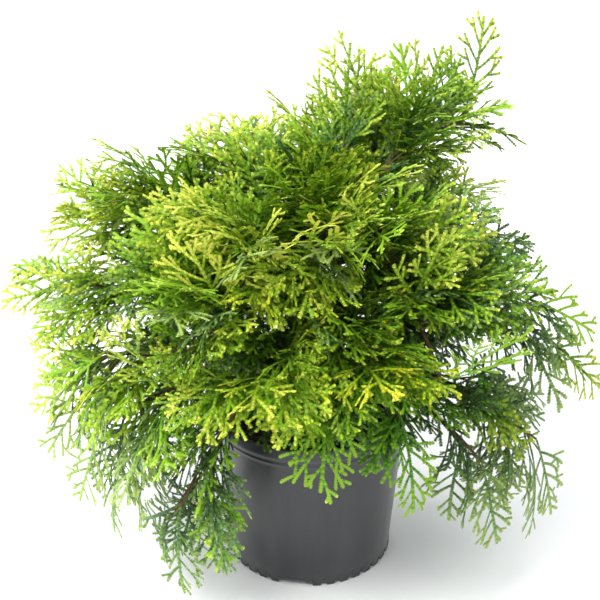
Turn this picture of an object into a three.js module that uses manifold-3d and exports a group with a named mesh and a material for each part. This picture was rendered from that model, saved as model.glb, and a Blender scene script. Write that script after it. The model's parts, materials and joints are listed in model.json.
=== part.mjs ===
// A dwarf hiba cedar in its round nursery pot, in millimetres, +Z up and the front towards -Y.
// The origin is the middle of the pot's flat underside. The trunk stands on the potting mix, boughs
// leave it all round, and each bough carries one mass of flat, toothed sprays on three-sided twigs.

import * as THREE from 'three';
import { mergeVertices } from 'three/addons/utils/BufferGeometryUtils.js';
import Module from 'manifold-3d';

const wasm = await Module();
wasm.setup();

// Clearance between neighbouring solids, which merely touch on the real plant
const gap = 0.3;

// Pot: a 200 mm, about 4 litre, blow-moulded nursery pot
const potHeight = 173;
const rimRadius = 100;
const footRadius = 81;
const wallTopRadius = 97;
const wall = 2;
const lipHeight = 13;
const lipRound = 1.6;
const floorThickness = 2.6;
const channelRadius = 75;
const channelHeight = 6;
const potSides = 36;
const toothCount = 36;
const toothGap = 5;
const toothHeight = 5.5;
const drainCount = 3;
const drainTurn = -10.5;
const drainWidth = 25;
const drainHeight = 6.5;

// Potting mix
const soilHeight = 158;
const soilCrown = 3;
const soilSides = 24;

// Trunk: flared foot on the mix, a slight lean to the back and right, a cut tip inside the crown
const trunkTop = 352;
const trunkLean = { x: 16, y: 20 };
const trunkFootRadius = 17;
const trunkRadius = 10.5;
const trunkTipRadius = 4.2;
const flareHeight = 26;

// Boughs: each is the inner part of a limb that runs on as the stem of its mass
const firstBoughHeight = 179;
const boughStep = 5.9;
const boughShare = 0.38;
const boughRadius = 4.1;
const boughTipRadius = 2.7;

// Twigs and sprays
const stemRadius = 2.7;
const stemTipRadius = 2;
const twigLength = 32;
const twigShortening = 0.4;
const twigCount = 8;
const twigTries = 300;
const goldenShare = 0.618;
const twigRoll = 137.5;
const twigLeanSpread = 50;
const twigDroopShare = 0.6;
const sprayLength = 100;
const sprayHalfWidth = 41;
const smallestSpray = 0.38;
const ridgeHeight = 2.1;
const sprayDroop = 0.2;
const sprayApart = 44;
const sprayTwist = 2.2;
const upwardFace = 0.5;
const fingerSag = 0.12;
const sunk = 6;
const spaceMargin = 0.8;
const lowestFoliage = 12;
const drooping = { below: 180, droop: 0.3, lean: 54 };
const upright = { above: 380, droop: -0.8, lean: 44 };

// How far the sprays at the sides turn their upper faces to the front, more where they hang
const frontFace = { upright: 0.15, hanging: 0.6, hangingDroop: 0.7 };

// How far a spray may stand past its mass's tip, over its stem and under it
const pastReach = 5;
const overStem = { below: 370, low: 45, above: 430, high: 8 };
const underStem = { level: 25, drooping: 60 };

// The front of the pot stays in view below this height
const frontClear = { halfWidth: 50, below: 150 };
const crownHeart = new THREE.Vector3(0, 0, 250);

// The outermost tip of each mass: turn is about the pot, 0 at the front and 90 at the right; reach is
// out from the pot's axis; height is above the underside; arch lifts the middle of the limb; droop
// bends its twigs down; slim makes its sprays smaller; past and over widen its space. The masses stand
// from the lowest bough to the highest. The last three grow from the trunk, at the shares of its
// height given by onTrunk.
const masses = [
  { name: 'front_left_hanging', turn: -43, reach: 188, height: 36, arch: 190, droop: 0.9 },
  { name: 'right_hanging', turn: 59, reach: 204, height: 66, arch: 170, droop: 0.9, slim: 0.9 },
  { name: 'back_left_low', turn: -152, reach: 232, height: 150, arch: 110, droop: 0.7 },
  { name: 'left_hanging', turn: -66, reach: 237, height: 109, arch: 130, droop: 0.9 },
  { name: 'front_right_hanging', turn: 38, reach: 169, height: 128, arch: 120, slim: 0.6 },
  { name: 'back_right_low', turn: 148, reach: 238, height: 138, arch: 112, droop: 0.7 },
  { name: 'right_low', turn: 77, reach: 242, height: 62, arch: 145, droop: 0.9 },
  { name: 'front_overhanging', turn: 5, reach: 186, height: 186, arch: 90, slim: 0.6 },
  { name: 'left_low', turn: -80, reach: 268, height: 176, arch: 60 },
  { name: 'back_low', turn: -177, reach: 240, height: 220, arch: 60 },
  { name: 'right_far_low', turn: 86, reach: 283, height: 185, arch: 80, slim: 0.7 },
  { name: 'front_left_lower', turn: -14, reach: 240, height: 306, arch: 25, droop: -0.3 },
  { name: 'back_left', turn: -134, reach: 252, height: 285, arch: 35 },
  { name: 'right_far', turn: 93, reach: 282, height: 244, arch: 45, droop: 0.1, slim: 0.7 },
  { name: 'front_right_lower', turn: 17, reach: 240, height: 322, arch: 20, droop: -0.4 },
  { name: 'left_far', turn: -96, reach: 304, height: 270, arch: 30, droop: 0, slim: 0.95 },
  { name: 'back_right', turn: 136, reach: 250, height: 300, arch: 30 },
  { name: 'front_left_middle', turn: -42, reach: 246, height: 360, arch: 5 },
  { name: 'right_shoulder', turn: 112, reach: 230, height: 300, arch: 25, over: 40, past: 14 },
  { name: 'front_right_middle', turn: 47, reach: 240, height: 342, arch: 15 },
  { name: 'left_shoulder', turn: -111, reach: 256, height: 380, arch: 10 },
  { name: 'back_middle', turn: 170, reach: 215, height: 372, arch: 15 },
  { name: 'front_left_upper', turn: -32, reach: 190, height: 436, arch: -10 },
  { name: 'front_right_upper', turn: 36, reach: 187, height: 440, arch: -10 },
  { name: 'back_leader', turn: 146, reach: 180, height: 480, arch: -16, slim: 0.85 },
  { name: 'upper_left', turn: -139, reach: 180, height: 394, arch: 12, slim: 0.8 },
  { name: 'right_leader', turn: 118, reach: 193, height: 536, arch: -15, slim: 0.95, past: 8, over: -25 },
  { name: 'front_upper', turn: 0, reach: 165, height: 452, arch: -10, onTrunk: 0.9 },
  {
    name: 'top_left', turn: -90, reach: 68, height: 458, arch: -5, onTrunk: 0.96,
    slim: 0.8, past: 60, over: 14,
  },
  { name: 'crown_top', turn: 161, reach: 95, height: 512, arch: 0, onTrunk: 1, slim: 0.6, past: 45 },
];

const barkMaterial = new THREE.MeshStandardMaterial({ color: 0x6b4a34, roughness: 0.9, metalness: 0 });
const leafMaterial = new THREE.MeshStandardMaterial({ color: 0x6f8a35, roughness: 0.6, metalness: 0 });
const potMaterial = new THREE.MeshStandardMaterial({ color: 0x3b3c3e, roughness: 0.45, metalness: 0 });
const soilMaterial = new THREE.MeshStandardMaterial({ color: 0x3a2a1f, roughness: 0.95, metalness: 0 });

const up = new THREE.Vector3(0, 0, 1);
const front = new THREE.Vector3(0, -1, 0);
const radians = THREE.MathUtils.degToRad;

// Numbers between 0 and 1 from a seed, the same on every run
function numbersFrom(seed) {
  let value = seed;
  return () => {
    value = (value * 16807) % 2147483647;
    return value / 2147483647;
  };
}

function vectorsOf(geometry) {
  const position = geometry.attributes.position;
  const vectorAt = (_, i) => new THREE.Vector3().fromBufferAttribute(position, i);
  return Array.from({ length: position.count }, vectorAt);
}

function toSolid(geometry) {
  geometry.deleteAttribute('normal');
  geometry.deleteAttribute('uv');
  const merged = mergeVertices(geometry, 1e-4);
  return new wasm.Manifold(new wasm.Mesh({
    numProp: 3,
    vertProperties: Float32Array.from(merged.attributes.position.array),
    triVerts: Uint32Array.from(merged.index.array),
  }));
}

function toGeometry(solid) {
  const mesh = solid.getMesh();
  const geometry = new THREE.BufferGeometry();
  geometry.setAttribute('position', new THREE.BufferAttribute(Float32Array.from(mesh.vertProperties), 3));
  geometry.setIndex(new THREE.BufferAttribute(Uint32Array.from(mesh.triVerts), 1));
  return geometry;
}

function largestPiece(solid) {
  return solid.decompose().reduce((best, piece) => (piece.volume() > best.volume() ? piece : best));
}

// A cylinder bent along a curve that lies in one upright plane, with its radius given along it
function limb(curve, side, sides, steps, radiusAt) {
  const geometry = new THREE.CylinderGeometry(1, 1, 1, sides, steps);
  const position = geometry.attributes.position;
  for (let i = 0; i < position.count; i += 1) {
    const along = THREE.MathUtils.clamp(position.getY(i) + 0.5, 0, 1);
    const forward = curve.getTangent(along);
    const across = side.clone().cross(forward).normalize();
    const radius = radiusAt(along);
    const point = curve.getPoint(along)
      .addScaledVector(across, position.getX(i) * radius)
      .addScaledVector(side, -position.getZ(i) * radius);
    position.setXYZ(i, point.x, point.y, point.z);
  }
  return toSolid(geometry);
}

// Pot

function wallRadius(height) {
  return THREE.MathUtils.lerp(footRadius, wallTopRadius, height / potHeight);
}

function potSolid() {
  const lipBottom = potHeight - lipHeight;
  const channelFloor = channelHeight + floorThickness;
  const profile = [
    [0, 0],
    [channelRadius - wall, 0],
    [channelRadius, channelHeight],
    [footRadius - 1.2 * wall, channelHeight],
    [footRadius - 1.2 * wall, 0],
    [footRadius, 0],
    [wallRadius(lipBottom) - 0.6, lipBottom],
    [rimRadius - 0.5 * lipRound, lipBottom + 0.5],
    [rimRadius, lipBottom + lipRound],
    [rimRadius, potHeight - lipRound],
    [rimRadius - 0.4 * lipRound, potHeight - 0.4 * lipRound],
    [rimRadius - lipRound, potHeight],
    [rimRadius - 2 * lipRound, potHeight - 0.5 * lipRound],
    [wallRadius(lipBottom) - wall, lipBottom - 4],
    [wallRadius(channelFloor) - wall, channelFloor],
    [channelRadius - wall, channelFloor],
    [channelRadius - 2 * wall, floorThickness],
    [0, floorThickness],
  ];
  const points = profile.map(([radius, height]) => new THREE.Vector2(radius, height));
  const lathe = new THREE.LatheGeometry(points, potSides).rotateX(Math.PI / 2);
  let pot = toSolid(lathe);
  const notch = (width, height, angle) => {
    const box = new THREE.BoxGeometry(width, 4 * wall, 2 * height);
    box.translate(0, -footRadius, 0);
    return toSolid(box.rotateZ(angle));
  };
  for (let i = 0; i < toothCount; i += 1) {
    pot = pot.subtract(notch(toothGap, toothHeight, radians((i * 360) / toothCount)));
  }
  for (let i = 0; i < drainCount; i += 1) {
    const angle = radians(drainTurn + (i * 360) / drainCount);
    pot = pot.subtract(notch(drainWidth, drainHeight, angle));
  }
  return pot;
}

function soilSolid() {
  const channelFloor = channelHeight + floorThickness + gap;
  const profile = [
    [0, floorThickness + gap],
    [channelRadius - 2 * wall - 0.6, floorThickness + gap],
    [channelRadius - wall - 0.2, channelFloor],
    [wallRadius(channelFloor) - wall - 0.6, channelFloor],
    [wallRadius(soilHeight - 3) - wall - 0.9, soilHeight - 3],
    [0.5 * rimRadius, soilHeight + 0.6 * soilCrown],
    [1.3 * trunkFootRadius, soilHeight + soilCrown],
    [0, soilHeight + soilCrown],
  ];
  const points = profile.map(([radius, height]) => new THREE.Vector2(radius, height));
  return toSolid(new THREE.LatheGeometry(points, soilSides).rotateX(Math.PI / 2));
}

// Trunk

const trunkBase = soilHeight + soilCrown + gap;
const trunkCurve = new THREE.QuadraticBezierCurve3(
  new THREE.Vector3(0, 0, trunkBase),
  new THREE.Vector3(0, 0, (trunkBase + trunkTop) / 2),
  new THREE.Vector3(trunkLean.x, trunkLean.y, trunkTop),
);
const trunkSide = new THREE.Vector3(trunkLean.y, -trunkLean.x, 0).normalize();

function trunkRadiusAt(along) {
  const height = along * (trunkTop - trunkBase);
  const flare = (trunkFootRadius - trunkRadius) * Math.exp((-2.2 * height) / flareHeight);
  return flare + THREE.MathUtils.lerp(trunkRadius, trunkTipRadius, along);
}

function trunkSolid(grown) {
  return limb(trunkCurve, trunkSide, 10, 9, (along) => trunkRadiusAt(along) + grown);
}

// Limbs: an arch in an upright plane from the trunk's middle to the mass's outermost tip

function limbOf(mass, index) {
  const share = mass.onTrunk ?? (firstBoughHeight + index * boughStep - trunkBase) / (trunkTop - trunkBase);
  const from = trunkCurve.getPoint(share);
  const turn = radians(mass.turn);
  const tip = new THREE.Vector3(mass.reach * Math.sin(turn), -mass.reach * Math.cos(turn), mass.height);
  const middle = from.clone().lerp(tip, 0.5).addScaledVector(up, mass.arch);
  const curve = new THREE.QuadraticBezierCurve3(from, middle, tip);
  const side = tip.clone().sub(from).cross(up).normalize();
  const split = mass.onTrunk ? 0 : boughShare;
  const highness = THREE.MathUtils.smoothstep(mass.height, drooping.below, upright.above);
  const droop = mass.droop ?? THREE.MathUtils.lerp(drooping.droop, upright.droop, highness);
  const twigLean = THREE.MathUtils.lerp(drooping.lean, upright.lean, highness);
  const heights = [0.4, 0.5, 0.6, 0.7, 0.8, 0.9, 1].map((along) => curve.getPoint(along).z);
  const highShare = THREE.MathUtils.smoothstep(mass.height, overStem.below, overStem.above);
  const over = mass.over ?? THREE.MathUtils.lerp(overStem.low, overStem.high, highShare);
  const under = THREE.MathUtils.lerp(
    underStem.level,
    underStem.drooping,
    THREE.MathUtils.smoothstep(droop, 0, drooping.droop),
  );
  const ceiling = Math.max(...heights) + over;
  const ground = Math.max(lowestFoliage, Math.min(...heights) - under);
  const sideways = Math.abs(Math.sin(turn));
  const isHanging = droop >= frontFace.hangingDroop;
  const endFace = frontFace.hanging * sideways;
  const twigFace = (isHanging ? frontFace.hanging : frontFace.upright) * sideways;
  return { ...mass, index, curve, side, tip, split, droop, twigLean, ceiling, ground, endFace, twigFace };
}

const limbs = masses.map(limbOf);

// The inner part of a quadratic arch is a quadratic arch too
function innerPart(curve, share) {
  const middle = curve.v0.clone().lerp(curve.v1, share);
  return new THREE.QuadraticBezierCurve3(curve.v0, middle, curve.getPoint(share));
}

function boughSolid(bough, grown) {
  const radiusAt = (along) => THREE.MathUtils.lerp(boughRadius, boughTipRadius, along) + grown;
  return limb(innerPart(bough.curve, bough.split), bough.side, 5, 3, radiusAt);
}

// Sprays: a flat fan with three fingers each side of a raised rib, drooping towards its end, on a
// three-sided twig. Points are given as shares of the fan's length and of its half width.
const ribStations = [0, 0.3, 0.56, 0.8];
const ribHeights = [0.7, 1, 0.95, 0.8, 0.65];
const notches = [[0, 0.06], [0.33, 0.17], [0.6, 0.15], [0.84, 0.1]];
const fingers = [[0.4, 0.95], [0.7, 0.86], [0.9, 0.5]];

function sprayGeometry(size, twig) {
  const length = size * sprayLength;
  const halfWidth = size * sprayHalfWidth;
  const sag = (forward, lateral) => (
    -sprayDroop * length * forward ** 2 - fingerSag * halfWidth * lateral ** 2
  );
  const points = [];
  const add = (forward, lateral, lift) => {
    points.push(forward * length, lateral * halfWidth, sag(Math.max(forward, 0), lateral) + lift);
    return points.length / 3 - 1;
  };
  const twigStart = -twig / length;
  const stations = [twigStart, ...ribStations];
  const ribs = stations.map((forward, i) => add(forward, 0, ridgeHeight * ribHeights[i]));
  const edges = [[twigStart, 0.6 * notches[0][1]], ...notches];
  const [left, right] = [1, -1].map((sign) => ({
    edge: edges.map(([forward, lateral]) => add(forward, sign * lateral, 0)),
    finger: fingers.map(([forward, lateral]) => add(forward, sign * lateral, 0)),
    face: (a, b, c) => (sign > 0 ? [a, b, c] : [a, c, b]),
  }));
  const end = add(1, 0, 0);
  const last = edges.length - 1;
  const faces = [ribs[0], left.edge[0], right.edge[0]];
  for (let i = 0; i < last; i += 1) {
    faces.push(left.edge[i], left.edge[i + 1], right.edge[i + 1]);
    faces.push(left.edge[i], right.edge[i + 1], right.edge[i]);
  }
  for (const { edge, finger, face } of [left, right]) {
    faces.push(...face(ribs[0], edge[1], edge[0]), ...face(ribs[0], ribs[1], edge[1]));
    finger.forEach((tip, i) => {
      faces.push(...face(ribs[i + 1], tip, edge[i + 1]), ...face(ribs[i + 1], edge[i + 2], tip));
      faces.push(...face(ribs[i + 1], ribs[i + 2], edge[i + 2]), ...face(edge[i + 1], tip, edge[i + 2]));
    });
    faces.push(...face(ribs[last], end, edge[last]));
  }
  faces.push(left.edge[last], end, right.edge[last]);
  const geometry = new THREE.BufferGeometry();
  geometry.setAttribute('position', new THREE.Float32BufferAttribute(points, 3));
  geometry.setIndex(faces);
  return geometry;
}

// A spray's upper face looks out of the crown and up, like a shingle, and at the sides towards the front
function facingAt(point) {
  return point.clone().sub(crownHeart).normalize().addScaledVector(up, 0.25).normalize();
}

// Turns a spray's length to its direction and its upper face as near as can be to the given way
function sprayTurn(direction, facing) {
  const face = facing.clone().addScaledVector(direction, -facing.dot(direction));
  if (face.length() < 0.15) face.crossVectors(direction, new THREE.Vector3(1, 0.3, 0));
  face.normalize();
  const across = new THREE.Vector3().crossVectors(face, direction);
  return new THREE.Matrix4().makeBasis(direction, across, face);
}

// Each mass keeps to its own space: within its reach and heights, clear of the pot's front, and
// nearer to its stem than to any other
const stemMarks = [0.42, 0.54, 0.66, 0.78, 0.9, 1];
const marks = limbs.map(({ curve }) => stemMarks.map((along) => curve.getPoint(along)));

function inSpace(point, { index, ground, ceiling, reach, past }) {
  if (point.z < ground || point.z > ceiling) return false;
  if (Math.hypot(point.x, point.y) > reach + (past ?? pastReach)) return false;
  const inFront = point.y < 0 && Math.abs(point.x) < frontClear.halfWidth;
  if (inFront && point.z < frontClear.below) return false;
  const near = Math.min(...marks[index].map((mark) => mark.distanceTo(point)));
  const others = marks.filter((_, i) => i !== index).flat();
  return others.every((mark) => mark.distanceTo(point) > near + 2 * spaceMargin);
}

// The corners of a mesh and the middles of its edges
function samplesOf(geometry) {
  const corners = vectorsOf(geometry);
  const order = geometry.index.array;
  const middles = Array.from(order, (corner, i) => {
    const next = i % 3 === 2 ? order[i - 2] : order[i + 1];
    return corners[corner].clone().lerp(corners[next], 0.5);
  });
  return [...corners, ...middles];
}

const trunk = trunkSolid(0);
const trunkKept = trunkSolid(gap);
const boughs = limbs.filter(({ split }) => split > 0);
const boughSolids = boughs.map((bough) => largestPiece(boughSolid(bough, 0).subtract(trunkKept)));

// Where no spray may go: the pot with its mix, the trunk and the boughs, each a little grown
const potRadius = rimRadius + 2;
const potKept = new THREE.CylinderGeometry(potRadius, potRadius, potHeight + 4, 24);
potKept.rotateX(Math.PI / 2).translate(0, 0, potHeight / 2);
const keptClear = boughs.reduce(
  (whole, bough) => whole.add(boughSolid(bough, 2 * gap)),
  trunkSolid(2 * gap).add(toSolid(potKept)),
);

function massSolid(own) {
  const { curve, side, split, tip, droop, twigLean, index, onTrunk, slim = 1 } = own;
  const { endFace, twigFace } = own;
  const random = numbersFrom(7411 + 977 * index);
  const base = curve.getPoint(split);
  const ahead = curve.getTangent(split);

  // The end spray reaches the tip itself
  const endDirection = curve.getTangent(0.85).addScaledVector(up, -droop).normalize();
  const endTurn = sprayTurn(endDirection, facingAt(tip).addScaledVector(front, endFace));
  const endReach = new THREE.Vector3(sprayLength, 0, -sprayDroop * sprayLength).applyMatrix4(endTurn);
  const stemEnd = tip.clone().sub(endReach);
  const start = base.clone().addScaledVector(ahead, onTrunk < 1 ? 0 : gap);
  const bend = start.clone().addScaledVector(ahead, 0.45 * stemEnd.distanceTo(base));
  const stemCurve = new THREE.QuadraticBezierCurve3(start, bend, stemEnd);
  const radiusAt = (along) => THREE.MathUtils.lerp(stemRadius, stemTipRadius, along);
  const stem = limb(stemCurve, side, 4, 4, radiusAt);
  let sprays = toSolid(sprayGeometry(1, sunk).applyMatrix4(endTurn.setPosition(stemEnd)));
  const ends = [tip];

  // Twigs are tried all along the stem, those with large fans first. One whose spray would leave the
  // mass's space, end close to another, or touch a limb, the pot or another spray, is skipped.
  for (let k = 0, grown = 0; k < twigTries && grown < twigCount; k += 1) {
    const along = (k * goldenShare + 0.22) % 1;
    const size = slim * THREE.MathUtils.lerp(1, smallestSpray, k / twigTries);
    const from = stemCurve.getPoint(along);
    const forward = stemCurve.getTangent(along);
    const roll = radians(twigRoll * k + 60 * random());
    const lean = radians(twigLean + twigLeanSpread * (random() - 0.5));
    const across = side.clone().cross(forward).normalize();
    const spoke = across.multiplyScalar(Math.cos(roll)).addScaledVector(side, Math.sin(roll));
    const direction = forward.multiplyScalar(Math.cos(lean)).addScaledVector(spoke, Math.sin(lean));
    direction.addScaledVector(up, -twigDroopShare * droop).normalize();
    const middle = from.clone().addScaledVector(direction, 0.5 * sprayLength);
    const face = facingAt(middle).addScaledVector(up, upwardFace);
    face.addScaledVector(front, twigFace).normalize();
    const aside = direction.clone().cross(face);
    face.addScaledVector(aside, sprayTwist * (random() - 0.5));
    const twig = twigLength * size * (1 - twigShortening * along);
    const turn = sprayTurn(direction, face).setPosition(from.clone().addScaledVector(direction, twig));
    const end = new THREE.Vector3(size * sprayLength, 0, 0).applyMatrix4(turn);
    if (ends.some((other) => other.distanceTo(end) < sprayApart * size)) continue;
    const geometry = sprayGeometry(size, twig).applyMatrix4(turn);
    if (!samplesOf(geometry).every((point) => inSpace(point, own))) continue;
    const spray = toSolid(geometry);
    if (!spray.intersect(keptClear).isEmpty() || !spray.intersect(sprays).isEmpty()) continue;
    sprays = sprays.add(spray);
    ends.push(end);
    grown += 1;
  }
  const whole = stem.add(sprays);
  return largestPiece(onTrunk ? whole.subtract(trunkKept) : whole);
}

const cedar = new THREE.Group();

function addPart(name, solid, material) {
  const mesh = new THREE.Mesh(toGeometry(solid), material.clone());
  mesh.name = name;
  cedar.add(mesh);
}

addPart('pot', potSolid(), potMaterial);
addPart('potting_mix', soilSolid(), soilMaterial);
addPart('trunk', trunk, barkMaterial);
boughs.forEach(({ name }, i) => addPart(`bough_${name}`, boughSolids[i], barkMaterial));
limbs.forEach((own) => addPart(`foliage_${own.name}`, massSolid(own), leafMaterial));

export default cedar;
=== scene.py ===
import json
import math

import bpy
import bmesh
import numpy as np
from mathutils import Matrix, Vector, noise

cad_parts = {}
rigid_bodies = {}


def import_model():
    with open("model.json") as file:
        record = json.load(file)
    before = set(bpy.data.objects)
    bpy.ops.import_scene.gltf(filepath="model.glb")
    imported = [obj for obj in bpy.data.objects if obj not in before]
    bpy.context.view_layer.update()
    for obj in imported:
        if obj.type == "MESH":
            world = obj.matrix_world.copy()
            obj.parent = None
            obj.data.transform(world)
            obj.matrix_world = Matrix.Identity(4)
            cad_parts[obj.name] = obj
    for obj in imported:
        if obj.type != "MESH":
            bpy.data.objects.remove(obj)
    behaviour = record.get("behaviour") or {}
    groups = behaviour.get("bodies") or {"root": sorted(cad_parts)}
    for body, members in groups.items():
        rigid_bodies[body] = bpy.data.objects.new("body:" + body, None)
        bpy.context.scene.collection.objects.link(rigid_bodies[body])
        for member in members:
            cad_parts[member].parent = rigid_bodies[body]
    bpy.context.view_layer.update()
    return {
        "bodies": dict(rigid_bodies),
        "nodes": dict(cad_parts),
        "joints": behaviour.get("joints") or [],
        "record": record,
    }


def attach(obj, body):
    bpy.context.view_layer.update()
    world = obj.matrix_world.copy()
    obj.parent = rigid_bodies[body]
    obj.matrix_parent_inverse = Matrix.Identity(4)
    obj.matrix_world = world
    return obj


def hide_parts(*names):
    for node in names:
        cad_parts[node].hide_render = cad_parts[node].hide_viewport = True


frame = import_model()
mm = 0.001
print("frame loaded,", len(frame["nodes"]), "nodes")


# helpers: numbers, curves, materials and meshes

seedFactor = 16807
seedRange = 2147483647


def numbersFrom(seed):  # numbers between 0 and 1, the same on every run
    value = seed
    while True:
        value = value * seedFactor % seedRange
        yield value / seedRange


def mix(a, b, share):
    return a + (b - a) * share


def smooth(value, low, high):
    share = min(max((value - low) / (high - low), 0.0), 1.0)
    return share * share * (3 - 2 * share)


def unit(vector):
    return vector / np.linalg.norm(vector)


def arch(points, share):  # point on a quadratic curve
    a, b, c = points
    return (1 - share) ** 2 * a + 2 * share * (1 - share) * b + share ** 2 * c


def archTangent(points, share):
    a, b, c = points
    return unit((1 - share) * (b - a) + share * (c - b))


def linear(red, green, blue):  # a screen colour, 0 to 255, as a shader colour
    def channel(value):
        value /= 255
        return value / 12.92 if value <= 0.04045 else ((value + 0.055) / 1.055) ** 2.4
    return (channel(red), channel(green), channel(blue), 1)


def newMaterial(name, colour, roughness, specular):
    material = bpy.data.materials.new(name)
    material.use_nodes = True
    material.diffuse_color = colour
    shader = material.node_tree.nodes["Principled BSDF"]
    shader.inputs["Base Color"].default_value = colour
    shader.inputs["Roughness"].default_value = roughness
    shader.inputs["Specular IOR Level"].default_value = specular
    return material


def feed(tree, node, inputs):  # an input is given a value, or a socket to link it to
    for name, value in inputs.items():
        if isinstance(value, bpy.types.NodeSocket):
            tree.links.new(value, node.inputs[name])
        else:
            node.inputs[name].default_value = value


def addNode(tree, kind, inputs, **properties):
    node = tree.nodes.new("ShaderNode" + kind)
    for name, value in properties.items():
        setattr(node, name, value)
    feed(tree, node, inputs)
    return node


def mixColours(tree, mask, first, second):  # by the node's colour sockets, 6, 7 and 2
    return addNode(tree, "Mix", {0: mask, 6: first, 7: second}, data_type="RGBA").outputs[2]


def mapMask(tree, mask, low, high):
    return addNode(tree, "MapRange", {"Value": mask, "To Min": low, "To Max": high}).outputs[0]


def sumMasks(tree, first, second, weight):
    inputs = {0: second, 1: weight, 2: first}
    return addNode(tree, "Math", inputs, operation="MULTIPLY_ADD", use_clamp=True).outputs[0]


def addBump(tree, height, strength, distance):
    inputs = {"Height": height, "Strength": strength, "Distance": distance}
    return addNode(tree, "Bump", inputs).outputs[0]


def openGroup(name, **inputs):
    group = bpy.data.node_groups.new(name, "ShaderNodeTree")
    for label, kind in inputs.items():
        group.interface.new_socket(name=label, in_out="INPUT", socket_type="NodeSocket" + kind)
    group.interface.new_socket(name="Mask", in_out="OUTPUT", socket_type="NodeSocketFloat")
    return group, group.nodes.new("NodeGroupInput").outputs, group.nodes.new("NodeGroupOutput")


def closeGroup(group, end, value, low, high):  # its mask is 0 at the low value, 1 at the high one
    spread = addNode(group, "MapRange", {"Value": value, "From Min": low, "From Max": high})
    group.links.new(spread.outputs[0], end.inputs["Mask"])
    return group


def makeStreaks():  # noise drawn out along an axis: moulding streaks, scuffs, bark strips
    sockets = {"Vector": "Vector", "Stretch": "Vector", "Low": "Float", "High": "Float"}
    group, start, end = openGroup("streaks", **sockets)
    scaling = {0: start["Vector"], 1: start["Stretch"]}
    scaled = addNode(group, "VectorMath", scaling, operation="MULTIPLY").outputs[0]
    settings = {"Vector": scaled, "Scale": 1, "Detail": 6, "Roughness": 0.6}
    grain = addNode(group, "TexNoise", settings).outputs[0]
    return closeGroup(group, end, grain, start["Low"], start["High"])


def makeSpecks():  # small scattered spots: dust and grit
    group, start, end = openGroup("specks", Vector="Vector", Scale="Float", Size="Float")
    cells = addNode(group, "TexVoronoi", {"Vector": start["Vector"], "Scale": start["Scale"]})
    return closeGroup(group, end, cells.outputs["Distance"], start["Size"], 0.0)


def makeHeightBand():  # 1 at the low height, 0 at the high one, in metres above the ground
    group, start, end = openGroup("heightBand", Vector="Vector", Low="Float", High="Float")
    height = addNode(group, "SeparateXYZ", {0: start["Vector"]}).outputs[2]
    return closeGroup(group, end, height, start["High"], start["Low"])


groups = {"streaks": makeStreaks(), "specks": makeSpecks(), "heightBand": makeHeightBand()}


def addMask(tree, name, place, settings):
    node = tree.nodes.new("ShaderNodeGroup")
    node.node_tree = groups[name]
    feed(tree, node, {"Vector": place, **settings})
    return node.outputs["Mask"]


def startMaterial(name, colour, settings):  # with its tree, shader and object coordinates
    material = newMaterial(name, colour, settings["roughness"], settings["specular"])
    tree = material.node_tree
    place = tree.nodes.new("ShaderNodeTexCoord").outputs["Object"]
    return material, tree, tree.nodes["Principled BSDF"], place


def finishMaterial(tree, shader, colour, relief, settings):
    bump = addBump(tree, relief, settings["bump"], settings["bumpDepth"])
    tree.links.new(colour, shader.inputs["Base Color"])
    tree.links.new(bump, shader.inputs["Normal"])


def addPiece(name, mesh, materials, nodes):
    piece = bpy.data.objects.new(name, mesh)
    bpy.context.scene.collection.objects.link(piece)
    for material in materials:
        mesh.materials.append(material)
    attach(piece, "root")
    if nodes:
        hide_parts(*nodes)


def meshFromArrays(name, points, faces, indices):  # faces all have the same number of corners
    mesh = bpy.data.meshes.new(name)
    corners = faces.shape[1]
    mesh.vertices.add(len(points))
    mesh.vertices.foreach_set("co", (points * mm).astype(np.float32).ravel())
    mesh.loops.add(faces.size)
    mesh.loops.foreach_set("vertex_index", faces.astype(np.int32).ravel())
    mesh.polygons.add(len(faces))
    mesh.polygons.foreach_set("loop_start", np.arange(len(faces), dtype=np.int32) * corners)
    mesh.polygons.foreach_set("material_index", indices.astype(np.int32))
    mesh.update(calc_edges=True)
    return mesh


def joinParts(parts):  # each part is its points, its faces and a value for every face
    points, faces, values = zip(*parts)
    offsets = np.cumsum([0] + [len(part) for part in points])
    faces = [part + offset for part, offset in zip(faces, offsets)]
    return np.vstack(points), np.vstack(faces), np.concatenate(values)


def meshFromBmesh(name, bm, smoothShade=True):
    for face in bm.faces:
        face.smooth = smoothShade
    mesh = bpy.data.meshes.new(name)
    bm.to_mesh(mesh)
    bm.free()
    return mesh


def turnProfile(points, steps):  # a closed solid from (radius, height) points that end on the axis
    bm = bmesh.new()
    verts = [bm.verts.new((radius * mm, 0, height * mm)) for radius, height in points]
    edges = [bm.edges.new(pair) for pair in zip(verts, verts[1:])]
    bmesh.ops.spin(
        bm, geom=verts + edges, cent=(0, 0, 0), axis=(0, 0, 1), angle=2 * math.pi, steps=steps,
        use_merge=True,
    )
    bmesh.ops.remove_doubles(bm, verts=bm.verts, dist=1e-6)
    bmesh.ops.recalc_face_normals(bm, faces=bm.faces)
    return bm


# camera, light and floor

view = {"elevation": 30, "distance": 2.0, "target": (-0.0096, 0, 0.282), "lens": 124.7}


def setView():
    target = Vector(view["target"])
    tilt = math.radians(view["elevation"])
    camera = bpy.data.objects.new("camera", bpy.data.cameras.new("camera"))
    camera.data.lens = view["lens"]
    camera.location = target + view["distance"] * Vector((0, -math.cos(tilt), math.sin(tilt)))
    camera.rotation_euler = (math.pi / 2 - tilt, 0, 0)
    bpy.context.scene.collection.objects.link(camera)
    bpy.context.scene.camera = camera


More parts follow.
